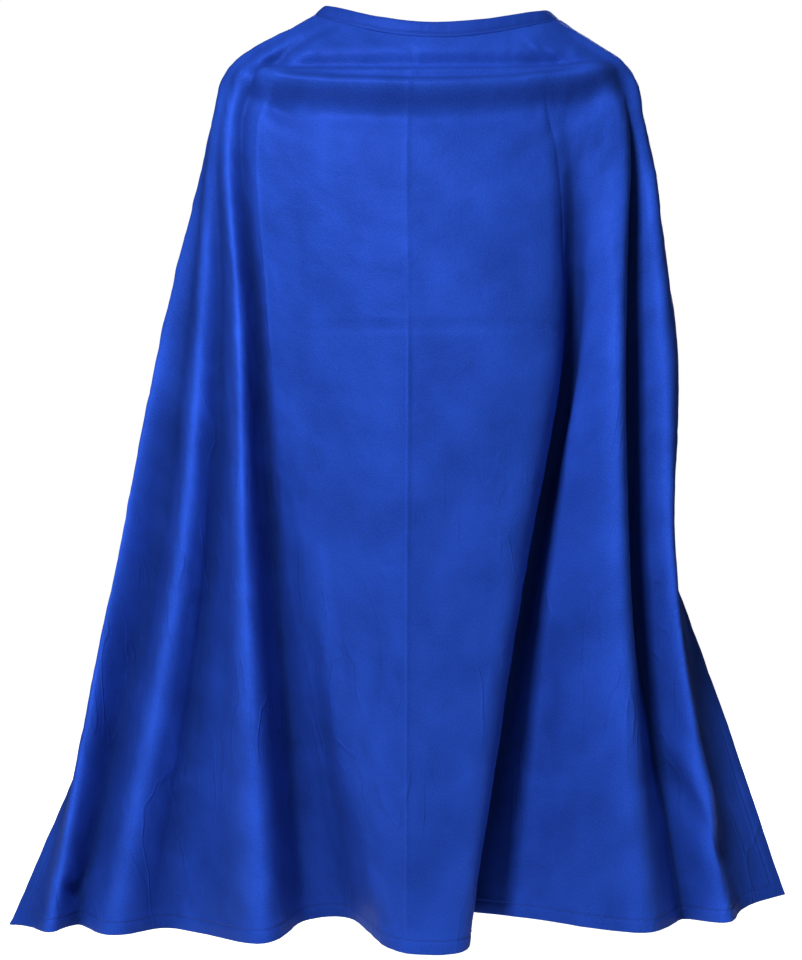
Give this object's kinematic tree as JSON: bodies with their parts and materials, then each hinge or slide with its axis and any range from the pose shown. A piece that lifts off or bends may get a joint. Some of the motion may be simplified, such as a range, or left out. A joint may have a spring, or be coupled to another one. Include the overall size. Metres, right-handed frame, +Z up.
{
  "type": "superhero cape",
  "caption": "Plain blue cape of thin knit cloth, hanging in deep folds from a narrow neck band with a hook-and-loop closure.",
  "frame": {"origin": "centre of the neck opening, level with the neck seam over the shoulders", "axes": "+Z up, +Y towards the wearer's front, -Y towards the back of the cape, -X towards the wearer's left"},
  "size_m": [0.839, 0.2271, 0.9981],
  "materials": {
    "cape_cloth": "smooth knitted polyester with a soft sheen",
    "cloth_inside": "reverse of the knit, duller",
    "loop_tape": "napped loop tape",
    "hook_tape": "moulded hook tape",
    "label_ribbon": "blank satin ribbon",
    "thread": "polyester sewing thread"
  },
  "bodies": {
    "cape": {"upper_back": "cape_cloth", "left_back_shoulder": "cape_cloth", "right_back_shoulder": "cape_cloth", "left_front_shoulder": "cape_cloth", "right_front_shoulder": "cape_cloth", "left_front_panel": "cape_cloth", "left_side_folds": "cape_cloth", "left_main_fold": "cape_cloth", "left_tuck": "cape_cloth", "centre_fold": "cape_cloth", "right_tuck": "cape_cloth", "right_main_fold": "cape_cloth", "right_side_folds": "cape_cloth", "right_front_panel": "cape_cloth", "neck_band": "cape_cloth", "underlap_end": "cape_cloth", "bottom_hem": "cloth_inside", "left_front_hem": "cloth_inside", "right_front_hem": "cloth_inside", "neck_band_facing": "cloth_inside", "loop_strip": "loop_tape", "hem_thread": "thread", "left_edge_thread": "thread", "right_edge_thread": "thread", "neck_thread": "thread"},
    "closure": {"closure_tab": "cape_cloth", "hook_strip": "hook_tape", "closure_thread": "thread"},
    "label": {"care_label": "label_ribbon", "label_thread": "thread"}
  },
  "joints": [
    {"name": "closure_peel", "type": "hinge", "parent": "cape", "child": "closure", "pos_m": [-0.0344, 0.0631, -0.0326], "axis": [0, 0, 1], "range_deg": [0, 120]},
    {"name": "label_flip", "type": "hinge", "parent": "cape", "child": "label", "pos_m": [-0.022, -0.0562, -0.0322], "axis": [0.9969, -0.0785, 0], "range_deg": [0, 150]}
  ]
}
